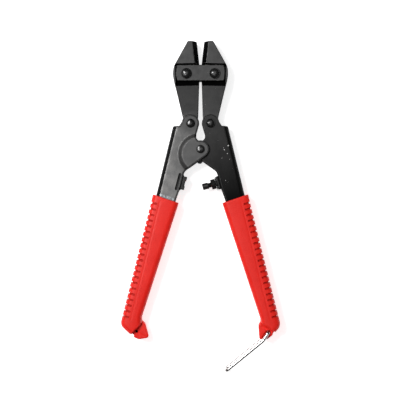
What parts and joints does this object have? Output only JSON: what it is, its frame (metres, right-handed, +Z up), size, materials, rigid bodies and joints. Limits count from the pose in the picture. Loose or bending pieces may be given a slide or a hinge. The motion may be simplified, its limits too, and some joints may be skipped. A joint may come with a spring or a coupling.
{
  "type": "bolt cutters",
  "caption": "Compact bolt cutters: short bevelled jaws on twin straps, crossed steel channel handles with sleeve grips, an adjusting stop screw and a wire latch.",
  "frame": {"origin": "bottom centre of the whole tool's box, on the surface it lies on, with the handles fully open", "axes": "+X across the tool to its right handle, +Y along it towards the jaws, +Z up from the surface, through the rivets"},
  "size_m": [0.112, 0.2306, 0.018],
  "materials": {
    "black_steel": "semi-gloss black coating over forged steel, with fine grain and worn edges",
    "black_handles": "semi-gloss black coating over pressed steel sheet",
    "black_rivets": "glossy black rivet heads",
    "black_hardware": "black oxide on steel",
    "red_grips": "satin moulded red plastic",
    "latch_chrome": "bright plated wire"
  },
  "bodies": {
    "straps": {"front_strap": "black_steel", "back_strap": "black_steel", "left_strap_rivet": "black_rivets", "right_strap_rivet": "black_rivets"},
    "left_jaw": {"left_jaw": "black_steel", "left_jaw_rivet": "black_rivets"},
    "right_jaw": {"right_jaw": "black_steel", "right_jaw_rivet": "black_rivets"},
    "left_handle": {"left_handle": "black_handles", "left_stop_bracket": "black_hardware", "left_grip": "red_grips", "center_rivet": "black_rivets", "center_spacer": "black_hardware"},
    "right_handle": {"right_handle": "black_handles", "screw_bracket": "black_hardware", "right_grip": "red_grips"},
    "stop_washer": {"adjusting_washer": "black_hardware"},
    "stop_screw": {"adjusting_screw": "black_hardware"},
    "stop_nut": {"lock_nut": "black_hardware"},
    "latch": {"latch_wire": "latch_chrome"}
  },
  "joints": [
    {"name": "left_jaw_pivot", "type": "hinge", "parent": "straps", "child": "left_jaw", "pos_m": [-0.0099, 0.09287, 0.009], "axis": [0, 0, 1], "range_deg": [-6.5, 0]},
    {"name": "right_jaw_pivot", "type": "hinge", "parent": "straps", "child": "right_jaw", "pos_m": [0.0099, 0.09287, 0.009], "axis": [0, 0, 1], "range_deg": [0, 6.5]},
    {"name": "left_handle_pivot", "type": "hinge", "parent": "left_jaw", "child": "left_handle", "pos_m": [-0.00703, 0.05827, 0.009], "axis": [0, 0, 1], "range_deg": [0, 19.66]},
    {"name": "right_handle_pivot", "type": "hinge", "parent": "right_jaw", "child": "right_handle", "pos_m": [0.00703, 0.05827, 0.009], "axis": [0, 0, 1], "range_deg": [-19.66, 0]},
    {"name": "latch_swing", "type": "hinge", "parent": "right_handle", "child": "latch", "pos_m": [0.0474, -0.08703, 0.009], "axis": [0, 0, 1], "range_deg": [-22, 60]},
    {"name": "adjusting_screw_turn", "type": "hinge", "parent": "right_handle", "child": "stop_washer", "pos_m": [0.01337, 0.01697, 0.009], "axis": [-0.9659, -0.2588, 0], "range_deg": [-720, 0]},
    {"name": "adjusting_screw_travel", "type": "slide", "parent": "stop_washer", "child": "stop_screw", "axis": [-0.9659, -0.2588, 0], "range_m": [-0.0014, 0]},
    {"name": "lock_nut_turn", "type": "hinge", "parent": "right_handle", "child": "stop_nut", "pos_m": [0.01337, 0.01697, 0.009], "axis": [-0.9659, -0.2588, 0], "range_deg": [0, 90]}
  ],
  "couplings": [
    {"joint": "right_jaw_pivot", "follows": "left_jaw_pivot", "ratio": -1},
    {"joint": "left_handle_pivot", "follows": "left_jaw_pivot", "ratio": -3.0236},
    {"joint": "right_handle_pivot", "follows": "left_jaw_pivot", "ratio": 3.0236},
    {"joint": "adjusting_screw_turn", "follows": "adjusting_screw_travel", "rad_per_m": 8976}
  ]
}
